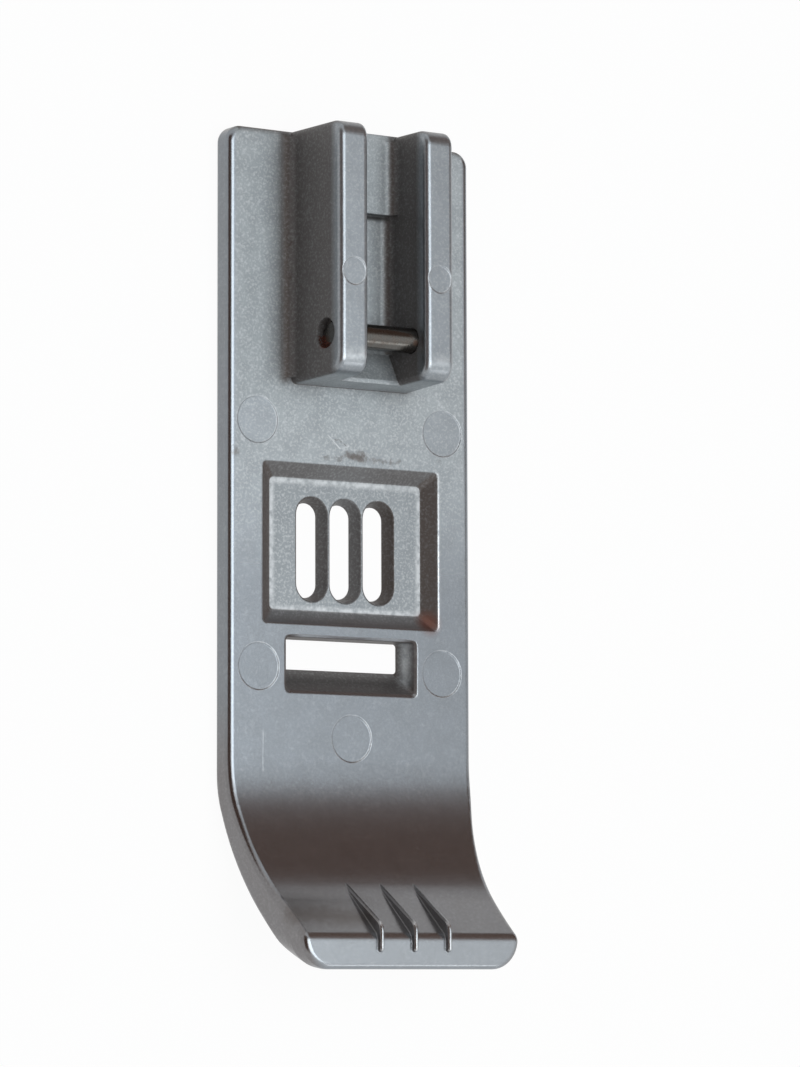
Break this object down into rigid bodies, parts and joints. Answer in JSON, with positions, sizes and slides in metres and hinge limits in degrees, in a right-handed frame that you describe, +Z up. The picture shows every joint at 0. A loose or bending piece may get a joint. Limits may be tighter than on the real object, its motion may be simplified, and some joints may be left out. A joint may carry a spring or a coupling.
{
  "type": "sewing machine presser foot",
  "caption": "Flat die-cast sewing machine presser foot with an upturned toe, a slotted needle recess, a front window and a cross pin held in ears for a clip-on shank.",
  "frame": {"origin": "centre of the outline's box, on the plane of the sole", "axes": "+Y towards the end with the ears, -Y towards the upturned toe, +Z up from the sole, +X across"},
  "size_m": [0.0204, 0.059, 0.01],
  "materials": {
    "cast_zinc": "satin die casting with a fine mottled grain and rounded bright edges",
    "pin_steel": "drawn steel pin, slightly stained"
  },
  "bodies": {
    "root": {"foot_body": "cast_zinc", "cross_pin": "pin_steel"}
  },
  "joints": []
}
